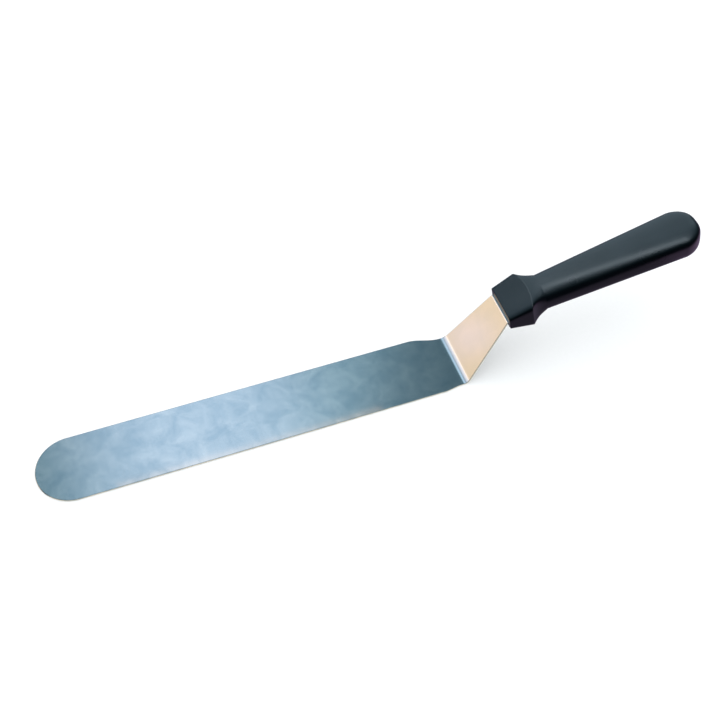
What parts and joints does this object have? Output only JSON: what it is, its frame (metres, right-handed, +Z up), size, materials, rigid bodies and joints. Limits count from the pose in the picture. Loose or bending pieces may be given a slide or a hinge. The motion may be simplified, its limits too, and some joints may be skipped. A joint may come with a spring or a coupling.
{
  "type": "palette knife",
  "caption": "Cranked palette knife: a long flat steel blade with a round tip, a neck bent up from it, and a moulded plastic handle that widens to a rounded butt.",
  "frame": {"origin": "centre of the whole knife's box, on the surface that the flat blade lies on", "axes": "+X from the blade's tip to the handle's butt, +Y across the blade to its right-hand edge seen from the handle, +Z up from the flat blade"},
  "size_m": [0.398, 0.042, 0.0685],
  "materials": {
    "ground_steel": "satin ground stainless spring steel",
    "moulded_plastic": "satin moulded polypropylene, blue-black"
  },
  "bodies": {
    "root": {"blade": "ground_steel", "handle": "moulded_plastic"}
  },
  "joints": []
}
